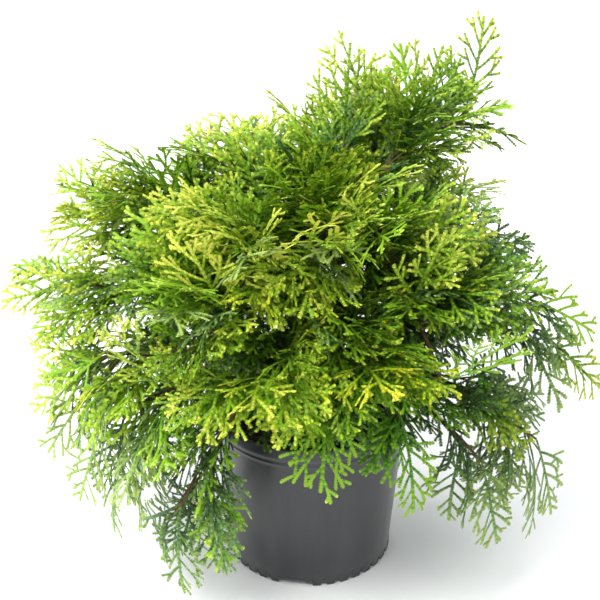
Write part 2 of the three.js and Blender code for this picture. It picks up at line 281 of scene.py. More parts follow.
studio = {
    "sky": (0.93, 0.96, 1.0, 1), "skyStrength": 0.7,
    "floorSize": 9, "floorLook": ((0.97, 0.97, 0.97, 1), 0.9, 0.2),  # colour, roughness, specular
    "aim": (0, 0, 0.25),
    "lamps": [  # name, place, size, watts
        ("key", (-1.1, -1.1, 2.7), 1.5, 105),
        ("fill", (1.9, -1.6, 1.5), 2.0, 14),
        ("back", (-0.2, 2.1, 2.4), 1.8, 55),
        ("side", (-2.3, 0.1, 0.6), 1.2, 30),
    ],
}


def setStudio():
    world = bpy.data.worlds.new("paleSky")
    world.use_nodes = True
    sky = world.node_tree.nodes["Background"]
    sky.inputs["Color"].default_value = studio["sky"]
    sky.inputs["Strength"].default_value = studio["skyStrength"]
    bpy.context.scene.world = world
    for name, place, size, watts in studio["lamps"]:
        lamp = bpy.data.lights.new(name, "AREA")
        lamp.size = size
        lamp.energy = watts
        holder = bpy.data.objects.new(name, lamp)
        holder.location = place
        aim = Vector(studio["aim"]) - Vector(place)
        holder.rotation_euler = aim.to_track_quat("-Z", "Y").to_euler()
        bpy.context.scene.collection.objects.link(holder)
    bm = bmesh.new()
    bmesh.ops.create_grid(bm, x_segments=1, y_segments=1, size=studio["floorSize"] / 2)
    floor = bpy.data.objects.new("floor", meshFromBmesh("floor", bm, False))
    floor.data.materials.append(newMaterial("paleFloor", *studio["floorLook"]))
    bpy.context.scene.collection.objects.link(floor)
    bpy.context.scene.view_settings.view_transform = "Standard"


setView()
setStudio()
print("camera, light and floor set")


# the pot: satin charcoal plastic, with a rolled lip, two fine rings under it and a notched foot

pot = {  # sizes in millimetres
    "height": 173, "foot": 81, "wallTop": 97, "rim": 100, "wall": 2, "lip": 13, "floor": 2.6,
    "middle": 40, "channel": 75, "channelHeight": 6, "channelRound": 0.8,
    "channelWall": ((-2, 0), (-0.6, 0.6), (0, 2), (0, 5)),
    "skirt": 2.4, "skirtHeights": (5.4, 4, 2.6, 1.2), "skirtRound": 0.6, "skirtSlack": 0.1,
    "footInside": 0.5, "footOutside": 0.4, "outerSkin": 0.5,
    "wallHeights": (
        0.5, 1.1, 1.8, 2.6, 3.6, 5, 7, 10, 14, 20, 28, 38, 50, 64, 80, 96, 112, 126, 138, 147,
    ),
    "rings": (  # height, and how far it stands out of the wall
        (151.6, 0), (152.4, 0.55), (153.2, 0),
        (156.6, 0), (157.6, 0.9), (158.6, 0.9), (159.4, 0.1), (160, 0.5),
    ),
    # past the rim, and above the lip's lower edge or the pot's top
    "lipFoot": ((-0.8, 0.1), (-0.1, 0.9), (0, 4)),
    "lipTop": ((0, -2.6), (-0.3, -1.2), (-0.9, -0.4), (-1.8, 0), (-2.8, -0.5), (-3.3, -1.6)),
    "insideHeights": (150, 120, 80, 40, 8), "floorRound": 8, "channelSlope": (4, 8),
    "steps": 432, "footBand": 14, "bead": 0.8, "beadHeight": 0.9, "beadWidth": 1.1,
    "unevenness": 0.45, "unevenSize": (55, 70),
    "notches": (  # how many, turn of the first, half width, height, squareness
        (36, 0, 2.7, 5.0, 2.4),
        (3, -10.5, 12.5, 5.8, 9),
    ),
    "colour": (32, 32, 35), "worn": (75, 75, 78), "dusty": (122, 119, 114),
    "roughness": 0.36, "roughnessRange": (0.3, 0.5), "specular": 0.5,
    "sheen": 0.3, "sheenRoughness": 0.4,
    "streaks": {"Stretch": (34, 34, 3.5), "Low": 0.42, "High": 0.68},
    "clouds": {"Stretch": (11, 11, 9), "Low": 0.4, "High": 0.72},
    "scuffs": {"Stretch": (60, 60, 420), "Low": 0.62, "High": 0.72},
    "grit": {"Scale": 190, "Size": 0.16},
    "footBlend": {"Low": 0.0, "High": 0.03}, "lipBlend": {"Low": 0.1735, "High": 0.1705},
    "streakWear": 0.3, "scuffWear": 0.22, "lipWear": 0.3,
    "footDust": 0.18, "gritDust": 0.12, "dustDulling": 0.8,
    "grain": 900, "streakBump": 0.6, "bump": 0.25, "bumpDepth": 0.0003,
}


def wallRadius(height):
    return mix(pot["foot"], pot["wallTop"], height / pot["height"])


def potProfile():  # from the middle of the underside out, up the wall, over the lip and down inside
    channel, rim, wall, floor = pot["channel"], pot["rim"], pot["wall"], pot["floor"]
    lipBottom = pot["height"] - pot["lip"]
    skirtInside = pot["foot"] - pot["skirt"]
    channelTop = pot["channelHeight"] + floor
    upper, lower = pot["channelSlope"]
    points = [(0, 0), (pot["middle"], 0)]
    points += [(channel + out, height) for out, height in pot["channelWall"]]
    points += [(channel + pot["channelRound"], pot["channelHeight"])]
    points += [(skirtInside - pot["skirtRound"], pot["channelHeight"])]
    points += [(skirtInside, height) for height in pot["skirtHeights"]]
    points += [(skirtInside + pot["footInside"], 0), (pot["foot"] - pot["footOutside"], 0)]
    points += [(wallRadius(height), height) for height in pot["wallHeights"]]
    points += [(wallRadius(height) + out, height) for height, out in pot["rings"]]
    points += [(rim + out, lipBottom + height) for out, height in pot["lipFoot"]]
    points += [(rim + out, pot["height"] + height) for out, height in pot["lipTop"]]
    points += [(wallRadius(height) - wall, height) for height in (lipBottom, *pot["insideHeights"])]
    points += [(wallRadius(floor) - wall - pot["floorRound"], channelTop)]
    points += [(channel - upper, channelTop), (channel - lower, floor)]
    return points + [(pot["middle"], floor), (0, floor)]


def notchHeight(turn):  # how far the foot is cut up at a turn in degrees
    cut = 0
    for count, first, half, height, squareness in pot["notches"]:
        pitch = 360 / count
        away = (turn - first + pitch / 2) % pitch - pitch / 2
        share = abs(math.radians(away)) * pot["foot"] / half
        if share < 1:
            cut = max(cut, height * (1 - share ** squareness) ** (1 / squareness))
    return cut


def makePot():
    bm = turnProfile(potProfile(), pot["steps"])
    skirtInside = pot["foot"] - pot["skirt"] - pot["skirtSlack"]
    outerEdge = pot["foot"] - pot["outerSkin"]
    for vert in bm.verts:
        x, y, z = vert.co / mm
        radius = math.hypot(x, y)
        if radius < skirtInside:
            continue
        turn = math.degrees(math.atan2(x, -y))
        grown = radius
        if z < pot["footBand"]:
            cut = notchHeight(turn)
            top = pot["channelHeight"] if radius < outerEdge else pot["footBand"]
            z = mix(cut, top, min(z / top, 1))
            if radius >= outerEdge:
                away = (z - cut - pot["beadHeight"]) / pot["beadWidth"]
                grown += pot["bead"] * math.exp(-away ** 2)
        elif z < pot["height"] - pot["lip"]:
            wide, tall = pot["unevenSize"]
            grown += pot["unevenness"] * noise.noise(Vector((x / wide, y / wide, z / tall)))
        vert.co = Vector((x * grown / radius, y * grown / radius, z)) * mm
    return meshFromBmesh("nursery_pot", bm)


def potMaterial():
    plain = linear(*pot["colour"])
    material, tree, shader, place = startMaterial("charcoalPlastic", plain, pot)
    shader.inputs["Sheen Weight"].default_value = pot["sheen"]
    shader.inputs["Sheen Roughness"].default_value = pot["sheenRoughness"]
    streaks = addMask(tree, "streaks", place, pot["streaks"])
    clouds = addMask(tree, "streaks", place, pot["clouds"])
    scuffs = addMask(tree, "streaks", place, pot["scuffs"])
    grit = addMask(tree, "specks", place, pot["grit"])
    foot = addMask(tree, "heightBand", place, pot["footBlend"])
    lip = addMask(tree, "heightBand", place, pot["lipBlend"])
    worn = sumMasks(tree, mapMask(tree, streaks, 0.0, pot["streakWear"]), scuffs, pot["scuffWear"])
    worn = sumMasks(tree, worn, lip, pot["lipWear"])
    dusty = addNode(tree, "Math", {0: foot, 1: clouds}, operation="MULTIPLY").outputs[0]
    dusty = sumMasks(tree, mapMask(tree, dusty, 0.0, pot["footDust"]), grit, pot["gritDust"])
    colour = mixColours(tree, worn, plain, linear(*pot["worn"]))
    colour = mixColours(tree, dusty, colour, linear(*pot["dusty"]))
    dulled = sumMasks(tree, streaks, dusty, pot["dustDulling"])
    tree.links.new(mapMask(tree, dulled, *pot["roughnessRange"]), shader.inputs["Roughness"])
    grain = addNode(tree, "TexNoise", {"Vector": place, "Scale": pot["grain"], "Detail": 3})
    relief = sumMasks(tree, grain.outputs[0], streaks, pot["streakBump"])
    finishMaterial(tree, shader, colour, relief, pot)
    return material


addPiece("nursery_pot", makePot(), [potMaterial()], ["pot"])
print("pot made")


# the potting mix: a lumpy top with bark chips on it

mixTop = {
    "height": 158, "crown": 3, "depth": 10, "gap": 0.4, "rings": 26, "sides": 72,
    "lump": 1.6, "lumpSize": 9, "crumb": 0.5, "crumbSize": 3.6,
    "chips": 420, "seed": 4242, "fromMiddle": 0.04, "fromWall": 6,
    "chipLength": 9, "chipLift": 0.6, "chipTilt": 0.5,
    "chipLengths": (0.4, 0.8), "chipWidths": (0.3, 0.3), "chipHeights": (0.7, 1.4),  # least, range
    "colour": (44, 33, 25), "fibre": (86, 64, 44), "grit": (150, 138, 118),
    "chip": (84, 58, 38), "chipPale": (128, 96, 66), "mixGrit": 0.6, "chipGrit": 0.2,
    "fibres": {"Stretch": (90, 260, 140), "Low": 0.42, "High": 0.66},
    "specks": {"Scale": 260, "Size": 0.22},
    "roughness": 0.92, "specular": 0.25, "speckBump": 0.5, "bump": 0.7, "bumpDepth": 0.0012,
}


def makeMix():
    top = mixTop["height"]
    outer = wallRadius(top) - pot["wall"] - mixTop["gap"]
    points = [(outer * share, top) for share in np.linspace(0, 1, mixTop["rings"])]
    points += [(outer - 1, top - mixTop["depth"]), (0, top - mixTop["depth"])]
    bm = turnProfile(points, mixTop["sides"])
    for vert in bm.verts:
        x, y, z = vert.co / mm
        if z > top - 1:
            share = math.hypot(x, y) / outer
            lump = noise.noise(Vector((x, y, 0)) / mixTop["lumpSize"])
            lump += mixTop["crumb"] * noise.noise(Vector((x, y, 40)) / mixTop["crumbSize"])
            lump *= mixTop["lump"] * (1 - share ** 8)
            vert.co.z += (mixTop["crown"] * (1 - share ** 2) + lump) * mm
    return meshFromBmesh("mix_top", bm)


def makeChips():
    random = numbersFrom(mixTop["seed"])
    bm = bmesh.new()
    outer = wallRadius(mixTop["height"]) - pot["wall"] - mixTop["fromWall"]

    def pick(least, spread):
        return least + spread * next(random)

    for _ in range(mixTop["chips"]):
        radius = outer * math.sqrt(mix(mixTop["fromMiddle"], 1, next(random)))
        turn = 2 * math.pi * next(random)
        length = mixTop["chipLength"] * pick(*mixTop["chipLengths"])
        crown = mixTop["crown"] * (1 - (radius / outer) ** 2)
        height = mixTop["height"] + crown + mixTop["chipLift"]
        place = (radius * math.cos(turn), radius * math.sin(turn), height)
        lean = Matrix.Rotation(math.radians(360 * next(random)), 4, "Z")
        lean = lean @ Matrix.Rotation(mixTop["chipTilt"] * (next(random) - 0.5), 4, "Y")
        width = length * pick(*mixTop["chipWidths"])
        scale = Matrix.Diagonal((length * mm, width * mm, pick(*mixTop["chipHeights"]) * mm, 1))
        at = Matrix.Translation(Vector(place) * mm)
        chip = bmesh.ops.create_icosphere(bm, subdivisions=1, radius=0.5, matrix=at @ lean @ scale)
        shade = int(next(random) * 2)
        for face in {face for vert in chip["verts"] for face in vert.link_faces}:
            face.material_index = shade
    return meshFromBmesh("bark_chips", bm, False)


def earthMaterial(name, colour, second, grit):
    material, tree, shader, place = startMaterial(name, linear(*colour), mixTop)
    fibres = addMask(tree, "streaks", place, mixTop["fibres"])
    specks = addMask(tree, "specks", place, mixTop["specks"])
    shade = mixColours(tree, fibres, linear(*colour), linear(*second))
    shade = mixColours(tree, mapMask(tree, specks, 0, grit), shade, linear(*mixTop["grit"]))
    finishMaterial(tree, shader, shade, sumMasks(tree, fibres, specks, mixTop["speckBump"]), mixTop)
    return material


pottingMix = earthMaterial("pottingMix", mixTop["colour"], mixTop["fibre"], mixTop["mixGrit"])
chipMaterials = [
    earthMaterial("chipDark", mixTop["colour"], mixTop["chip"], mixTop["chipGrit"]),
    earthMaterial("chipPale", mixTop["chip"], mixTop["chipPale"], mixTop["chipGrit"]),
]
addPiece("mix_top", makeMix(), [pottingMix], ["potting_mix"])
addPiece("bark_chips", makeChips(), chipMaterials, [])
print("potting mix made")


# the plant's limbs, by the same sizes and the same rule as its solids, in millimetres

trunk = {
    "base": 161.3, "top": 352, "lean": (16, 20),
    "foot": 17, "radius": 10.5, "tip": 4.2, "flare": 26, "flareFall": 2.2,
}
bough = {"first": 179, "step": 5.9, "share": 0.38, "radius": 4.1, "tip": 2.7}
growth = {
    "seed": 7411, "seedStep": 977, "tries": 900, "smallest": 0.4, "smallestHanging": 0.55,
    "twigLength": 32, "twigShortening": 0.4, "twigDroop": 0.6,
    "bend": 0.45, "endShare": 0.85, "lastTwig": 0.9,
    "golden": 0.618, "firstTry": 0.22, "roll": 137.5, "rollSpread": 60, "leanSpread": 50,
    "boughEvery": 6, "boughInner": 0.45, "boughLargest": 0.6,  # every sixth try is on the bough
    "fanLength": 100, "fanHalfWidth": 41, "sag": 0.2, "fingerSag": 0.12, "twist": 2.2,
    "apart": 24, "smallApart": 0.45,
    "openSpacing": 1.22, "hangingSpacing": 1.45, "sparseSpacing": 2.1,
    "stemMarks": (0.42, 0.54, 0.66, 0.78, 0.9, 1), "intoNeighbour": 28, "pastReach": 5,
    "overStem": 45, "overLeader": 8, "leaderHeights": (370, 430),
    "underStem": (25, 60), "underDroops": (0, 0.3),
    "lowest": 12, "clearOfPot": 103, "rimHeight": 177, "frontClear": 50, "frontBelow": 150,
    "innerReach": 130, "innerGround": 240, "innerCeiling": 405,
    "upwardFace": 0.5, "frontFace": 0.15, "hangingFrontFace": 0.6, "faceRise": 0.25, "edgeOn": 0.15,
    "heart": (0, 0, 250), "crownReach": (255, 215, 235),
    "pocketSize": 38, "pocketLevel": -0.14, "pocketDepth": 0.62, "pocketShift": (14.5, 31.4, 31.0),
}
habit = {
    "below": 180, "droop": 0.3, "lean": 54, "above": 380, "uprightDroop": -0.8, "uprightLean": 44,
    "hanging": 0.7,
}
massColumns = ("name", "turn", "reach", "height", "arch")
massRows = [  # the last column is what sets a mass apart
    ("front_left_hanging", -43, 188, 36, 190, {"droop": 0.9, "open": True}),
    ("right_hanging", 59, 204, 66, 170, {"droop": 0.9, "open": True, "slim": 0.9, "sparse": True}),
    ("back_left_low", -152, 232, 150, 110, {"droop": 0.7, "open": True}),
    ("left_hanging", -66, 237, 109, 130, {"droop": 0.9, "open": True}),
    ("front_right_hanging", 38, 169, 128, 120, {"slim": 0.6, "open": True}),
    ("back_right_low", 148, 238, 138, 112, {"droop": 0.7, "open": True}),
    ("right_low", 77, 242, 62, 145, {"droop": 0.9, "open": True}),
    ("front_overhanging", 5, 186, 186, 90, {"slim": 0.6}),
    ("left_low", -80, 268, 176, 60, {"open": True}),
    ("back_low", -177, 240, 220, 60, {}),
    ("right_far_low", 86, 283, 185, 80, {"slim": 0.7, "open": True, "sparse": True}),
    ("front_left_lower", -14, 240, 306, 25, {"droop": -0.3}),
    ("back_left", -134, 252, 285, 35, {}),
    ("right_far", 93, 282, 244, 45, {"droop": 0.1, "slim": 0.7, "open": True, "sparse": True}),
    ("front_right_lower", 17, 240, 322, 20, {"droop": -0.4}),
    ("left_far", -96, 304, 270, 30, {"droop": 0, "slim": 0.95, "open": True}),
    ("back_right", 136, 250, 300, 30, {}),
    ("front_left_middle", -42, 246, 360, 5, {}),
    ("right_shoulder", 112, 230, 300, 25, {"open": True, "over": 40, "past": 14}),
    ("front_right_middle", 47, 240, 342, 15, {}),
    ("left_shoulder", -111, 256, 380, 10, {}),
    ("back_middle", 170, 215, 372, 15, {}),
    ("front_left_upper", -32, 190, 436, -10, {}),
    ("front_right_upper", 36, 187, 440, -10, {}),
    ("back_leader", 146, 180, 480, -16, {"slim": 0.85}),
    ("upper_left", -139, 180, 394, 12, {"slim": 0.8}),
    ("right_leader", 118, 193, 536, -15, {"slim": 0.95, "open": True, "past": 8, "over": -25}),
    ("front_upper", 0, 165, 452, -10, {"onTrunk": 0.9}),
    ("top_left", -90, 68, 458, -5, {"onTrunk": 0.96, "slim": 0.8, "past": 60, "over": 14}),
    ("crown_top", 161, 95, 512, 0, {"onTrunk": 1, "slim": 0.6, "past": 45}),
]
masses = [dict(zip(massColumns, row), **row[-1]) for row in massRows]

up = np.array((0.0, 0.0, 1.0))
front = np.array((0.0, -1.0, 0.0))
crownHeart = np.array(growth["heart"], float)
crownReach = np.array(growth["crownReach"], float)
pocketShift = Vector(growth["pocketShift"])

trunkHeight = trunk["top"] - trunk["base"]
trunkArch = (
    np.array((0, 0, trunk["base"]), float),
    np.array((0, 0, (trunk["base"] + trunk["top"]) / 2), float),
    np.array((*trunk["lean"], trunk["top"]), float),
)


def trunkRadiusAt(share):
    fall = math.exp(-trunk["flareFall"] * share * trunkHeight / trunk["flare"])
    flare = (trunk["foot"] - trunk["radius"]) * fall
    return flare + mix(trunk["radius"], trunk["tip"], share)


def layLimb(mass, index):  # adds the limb's curve, and the mass's own space and habit
    rootHeight = bough["first"] + index * bough["step"]
    start = arch(trunkArch, mass.get("onTrunk", (rootHeight - trunk["base"]) / trunkHeight))
    turn = math.radians(mass["turn"])
    reach = mass["reach"]
    tip = np.array((reach * math.sin(turn), -reach * math.cos(turn), mass["height"]))
    highness = smooth(mass["height"], habit["below"], habit["above"])
    mass["index"] = index
    mass["tip"] = tip
    mass["curve"] = (start, (start + tip) / 2 + mass["arch"] * up, tip)
    mass["side"] = unit(np.cross(tip - start, up))
    mass["split"] = 0 if "onTrunk" in mass else bough["share"]
    mass["lean"] = mix(habit["lean"], habit["uprightLean"], highness)
    mass.setdefault("droop", mix(habit["droop"], habit["uprightDroop"], highness))
    heights = [arch(mass["curve"], share)[2] for share in np.linspace(0.4, 1, 7)]
    leading = smooth(mass["height"], *growth["leaderHeights"])
    over = mass.get("over", mix(growth["overStem"], growth["overLeader"], leading))
    under = mix(*growth["underStem"], smooth(mass["droop"], *growth["underDroops"]))
    mass["ceiling"] = max(heights) + over
    mass["ground"] = max(growth["lowest"], min(heights) - under)
    hanging = mass["droop"] >= habit["hanging"]
    mass["spacing"] = growth["openSpacing"] if "open" in mass else 1
    if "sparse" in mass:
        mass["spacing"] = growth["sparseSpacing"]
    elif hanging:
        mass["spacing"] = growth["hangingSpacing"]
    mass["smallest"] = growth["smallestHanging" if hanging else "smallest"]
    sideways = abs(math.sin(turn)) * front
    frontFace = growth["hangingFrontFace" if hanging else "frontFace"]
    mass["facing"] = frontFace * sideways + growth["upwardFace"] * up
    mass["endFacing"] = growth["hangingFrontFace"] * sideways


for index, mass in enumerate(masses):
    layLimb(mass, index)

stemMarks = np.array([
    [arch(mass["curve"], share) for share in growth["stemMarks"]] for mass in masses
])


def isInSpace(points, mass):  # nearer to its own stem than to any other, or not far past that
    out = np.hypot(points[:, 0], points[:, 1])
    outer = out > growth["innerReach"]
    ground = np.where(outer, mass["ground"], min(mass["ground"], growth["innerGround"]))
    ceiling = np.where(outer, mass["ceiling"], max(mass["ceiling"], growth["innerCeiling"]))
    if np.any((points[:, 2] < ground) | (points[:, 2] > ceiling)):
        return False
    if out.max() > mass["reach"] + mass.get("past", growth["pastReach"]):
        return False
    if np.any((out < growth["clearOfPot"]) & (points[:, 2] < growth["rimHeight"])):
        return False
    inFront = (points[:, 1] < 0) & (np.abs(points[:, 0]) < growth["frontClear"])
    if np.any(inFront & (points[:, 2] < growth["frontBelow"])):
        return False
    away = np.linalg.norm(points[:, None, None, :] - stemMarks[None], axis=3).min(axis=2)
    near = away[:, mass["index"]].copy()
    away[:, mass["index"]] = np.inf
    return bool(np.all(away.min(axis=1) > near - growth["intoNeighbour"]))


def outwardness(point):  # 0 in the heart of the crown, about 1 at its outside
    return np.linalg.norm((point - crownHeart) / crownReach)


def facingAt(point):
    return unit(unit(point - crownHeart) + growth["faceRise"] * up)


def fanTurn(direction, facing):  # columns: along the fan, across it, out of its upper face
    face = facing - facing.dot(direction) * direction
    if np.linalg.norm(face) < growth["edgeOn"]:
        face = np.cross(direction, (1, 0.3, 0))
    face = unit(face)
    return np.column_stack((direction, np.cross(face, direction), face))


fanOutline = np.array((  # of the solids' plain fan, as shares of its length and half width
    (0, 0), (0.4, 0.95), (0.7, 0.86), (0.9, 0.5), (0.4, -0.95), (0.7, -0.86), (0.9, -0.5), (1, 0),
))


def outlinePoints(root, turn, size):
    length = size * growth["fanLength"]
    half = size * growth["fanHalfWidth"]
    forward, lateral = fanOutline.T
    sag = -growth["sag"] * length * forward ** 2 - growth["fingerSag"] * half * lateral ** 2
    return root + np.column_stack((forward * length, lateral * half, sag)) @ turn.T


def growMass(mass):  # its stem, and the fans that find room in its space
    random = numbersFrom(growth["seed"] + growth["seedStep"] * mass["index"])
    base = arch(mass["curve"], mass["split"])
    ahead = archTangent(mass["curve"], mass["split"])
    endDirection = unit(archTangent(mass["curve"], growth["endShare"]) - mass["droop"] * up)
    endTurn = fanTurn(endDirection, facingAt(mass["tip"]) + mass["endFacing"])
    length = growth["fanLength"]
    stemEnd = mass["tip"] - endTurn @ np.array((length, 0, -growth["sag"] * length))
    stem = (base, base + growth["bend"] * np.linalg.norm(stemEnd - base) * ahead, stemEnd)
    bearing = arch(stem, growth["lastTwig"])
    fans = [{"root": stemEnd, "turn": endTurn, "size": 1.0, "from": bearing, "along": 1.0}]
    ends = [mass["tip"]]
    for k in range(growth["tries"]):
        along = (k * growth["golden"] + growth["firstTry"]) % 1
        size = mix(1, mass["smallest"], k / growth["tries"]) * mass.get("slim", 1)
        start = arch(stem, along)
        forward = archTangent(stem, along)
        if k % growth["boughEvery"] == growth["boughEvery"] - 1 and mass["split"]:
            share = mix(growth["boughInner"], 1, along) * mass["split"]
            start = arch(mass["curve"], share)
            forward = archTangent(mass["curve"], share)
            size = min(size, growth["boughLargest"])
        roll = math.radians(growth["roll"] * k + growth["rollSpread"] * next(random))
        lean = math.radians(mass["lean"] + growth["leanSpread"] * (next(random) - 0.5))
        across = unit(np.cross(mass["side"], forward))
        spoke = across * math.cos(roll) + mass["side"] * math.sin(roll)
        direction = forward * math.cos(lean) + spoke * math.sin(lean)
        direction = unit(direction - growth["twigDroop"] * mass["droop"] * up)
        middle = start + 0.5 * length * direction
        face = unit(facingAt(middle) + mass["facing"])
        face = face + growth["twist"] * (next(random) - 0.5) * np.cross(direction, face)
        twig = growth["twigLength"] * size * (1 - growth["twigShortening"] * along)
        root = start + twig * direction
        end = root + size * length * direction
        pocket = noise.noise(Vector(end) / growth["pocketSize"] + pocketShift)
        if pocket < growth["pocketLevel"] and outwardness(end) > growth["pocketDepth"]:
            continue
        spacing = growth["apart"] * mass["spacing"] * mix(growth["smallApart"], 1, size)
        if min(np.linalg.norm(end - other) for other in ends) < spacing:
            continue
        turn = fanTurn(direction, face)
        if not isInSpace(outlinePoints(root, turn, size), mass):
            continue
        fans.append({"root": root, "turn": turn, "size": size, "from": start, "along": along})
        ends.append(end)
    return stem, fans


# trunk and boughs: stringy bark in long strips

wood = {
    "trunkSides": 56, "trunkRings": 64, "boughSides": 16, "boughRings": 18, "boughSeed": 10,
    "strip": 1.5, "boughStrip": 0.45, "stripDepth": 1.6, "stripLevel": 0.5, "fineDepth": 0.45,
    "stripPitch": 3.2, "stripDrift": 3, "finePitch": 8, "fineDrift": 7,
    "colour": (92, 66, 46), "strips": (140, 108, 80), "crack": (44, 30, 22), "green": (92, 104, 44),
    "broad": {"Stretch": (210, 210, 22), "Low": 0.4, "High": 0.64},
    "fine": {"Stretch": (620, 620, 90), "Low": 0.35, "High": 0.7},
    "specks": {"Scale": 420, "Size": 0.2}, "stripShare": 0.7, "greenShare": 0.25,
    "roughness": 0.85, "specular": 0.3, "fineBump": 0.5, "bump": 0.8, "bumpDepth": 0.001,
}


def barkNoise(spot, along, pitch, drift, seed):
    return noise.noise(Vector((pitch * spot.x, pitch * spot.y, drift * along + seed)))


def growLimb(bm, centres, radii, sides, relief, seed):  # a ring of corners, extruded along the limb
    centres = [Vector(centre) * mm for centre in centres]
    ring = bmesh.ops.create_circle(bm, segments=sides, radius=1, cap_ends=False)["verts"]
    loop = [edge for vert in ring for edge in vert.link_edges if edge.verts[0] == vert]
    spots = [vert.co.copy() for vert in ring]
    firstRing = ring
    turn = (centres[1] - centres[0]).normalized().to_track_quat("Z", "Y")
    for k, centre in enumerate(centres):
        ahead = (centres[min(k + 1, len(centres) - 1)] - centres[max(k - 1, 0)]).normalized()
        turn = (turn @ Vector((0, 0, 1))).rotation_difference(ahead) @ turn
        if k:
            added = bmesh.ops.extrude_edge_only(bm, edges=loop)["geom"]
            fresh = {item for item in added if isinstance(item, bmesh.types.BMVert)}
            loop = [item for item in added if isinstance(item, bmesh.types.BMEdge)]
            loop = [edge for edge in loop if fresh.issuperset(edge.verts)]
            others = [[edge.other_vert(vert) for edge in vert.link_edges] for vert in ring]
            ring = [next(vert for vert in around if vert in fresh) for around in others]
        along = k / len(centres)
        for spot, vert in zip(spots, ring):
            strip = barkNoise(spot, along, wood["stripPitch"], wood["stripDrift"], seed)
            fine = barkNoise(spot, along, wood["finePitch"], wood["fineDrift"], seed)
            bump = abs(strip) * wood["stripDepth"] - wood["stripLevel"] + wood["fineDepth"] * fine
            vert.co = centre + turn @ (spot * (radii[k] + relief * bump) * mm)
    for end in (firstRing, ring):
        bm.faces.new(end)


def makeLimbs():
    bm = bmesh.new()
    shares = np.linspace(0, 1, wood["trunkRings"])
    centres = [arch(trunkArch, share) for share in shares]
    radii = [trunkRadiusAt(share) for share in shares]
    growLimb(bm, centres, radii, wood["trunkSides"], wood["strip"], 0)
    shares = np.linspace(0, 1, wood["boughRings"])
    radii = [mix(bough["radius"], bough["tip"], share) for share in shares]
    for mass in masses:
        if mass["split"]:
            centres = [arch(mass["curve"], share * mass["split"]) for share in shares]
            seed = wood["boughSeed"] + mass["index"]
            growLimb(bm, centres, radii, wood["boughSides"], wood["boughStrip"], seed)
    bmesh.ops.recalc_face_normals(bm, faces=bm.faces)
    return meshFromBmesh("trunk_and_boughs", bm)


def barkMaterial(name, colour, strips, crack):
    material, tree, shader, place = startMaterial(name, linear(*colour), wood)
    broad = addMask(tree, "streaks", place, wood["broad"])
    fine = addMask(tree, "streaks", place, wood["fine"])
    specks = addMask(tree, "specks", place, wood["specks"])
    shade = mixColours(tree, broad, linear(*crack), linear(*colour))
    shade = mixColours(tree, mapMask(tree, fine, 0, wood["stripShare"]), shade, linear(*strips))
    green = mapMask(tree, specks, 0, wood["greenShare"])
    shade = mixColours(tree, green, shade, linear(*wood["green"]))
    finishMaterial(tree, shader, shade, sumMasks(tree, broad, fine, wood["fineBump"]), wood)
    return material


bark = barkMaterial("stringyBark", wood["colour"], wood["strips"], wood["crack"])
limbNodes = ["trunk"] + ["bough_" + mass["name"] for mass in masses if mass["split"]]
addPiece("trunk_and_boughs", makeLimbs(), [bark], limbNodes)
print("trunk and boughs made")


# foliage: toothed branchlets of scale leaves, set out as flat fans

leafTints = {
    "deep": (34, 62, 16),
    "shade": (52, 86, 18),
    "mid": (80, 118, 17),
    "fresh": (114, 148, 28),
    "lime": (152, 176, 42),
    "tip": (196, 201, 76),
    "youngShade": (60, 112, 12),
    "youngMid": (92, 144, 16),
    "youngFresh": (130, 172, 34),
    "youngTip": (178, 203, 74),
    "gold": (166, 180, 22),
    "paleGold": (206, 204, 62),
    "hangingDeep": (34, 58, 30),
    "hangingShade": (54, 86, 40),
    "hangingMid": (85, 120, 56),
    "hangingFresh": (122, 151, 74),
    "hangingTip": (150, 172, 88),
}
palettes = {  # from the darkest leaves to the tips
    "crown": ("deep", "shade", "mid", "fresh", "lime", "tip"),
    "young": ("youngShade", "youngMid", "youngFresh", "youngFresh", "youngTip"),
    "golden": ("shade", "mid", "mid", "fresh", "gold", "paleGold"),
    "hanging": ("hangingDeep", "hangingShade", "hangingMid", "hangingFresh", "hangingTip"),
}
leaf = {
    "sizes": (1.0, 0.8, 0.6, 0.45), "perSize": 5, "seeds": (31, 7, 101),  # first, by fan, by size
    "pitch": 2.6, "narrow": 0.82, "wide": 2.3, "ridge": 1.0, "tipRidge": 0.5, "toothDrop": -0.25,
    "tooth": 1.08, "lastTooth": 0.55, "spread": 0.3, "fullAt": 0.6, "blunt": 0.8, "axisCurl": 0.3,
    "lateralSpacing": 9.2, "openSpacing": 7.0,
    "lateralStart": 0.12, "lateralEnd": 0.94, "jitter": 0.4,
    "lateralShare": 0.5, "openShare": 0.4,
    "rootRange": (-0.3, 0.3), "tipRange": (0.25, 1.05), "tipShare": 0.36,
    "lengths": (0.8, 0.4), "lateralCurls": (0.15, 0.3), "lateralWidth": 0.95, "lateralTone": 0.1,
    "angleAtRoot": 52, "angleAtTip": 34, "angleSpread": 12, "lateralTilt": 30, "lateralRoll": 50,
    "forkPitch": 9.5, "forks": 0.8, "openForks": 0.55,
    "forkStart": 0.34, "forkEnd": 0.84, "forkJitter": 0.08,
    "forkShare": 0.42, "forkShares": (1.2, 0.7), "forkLongest": 19, "forkShortest": 7,
    "forkWidth": 0.92, "forkCurl": -0.25, "leastCurl": 0.02,
    "forkAngle": 42, "forkSpread": 14, "forkTilt": 24, "forkTone": 0.16,
    "tipTone": 0.42, "tipPower": 1.4, "outerTone": 0.34, "outerPower": 1.6, "outermost": 1.1,
    "toneSpread": 0.28, "scaleToneAndShade": 0.26,
    "tipLooseness": 0.2, "sagSpread": 0.22, "cupSpread": 0.3, "cupLevel": 0.4, "wave": 0.5,
    "roughness": 0.5, "specular": 0.28,
}
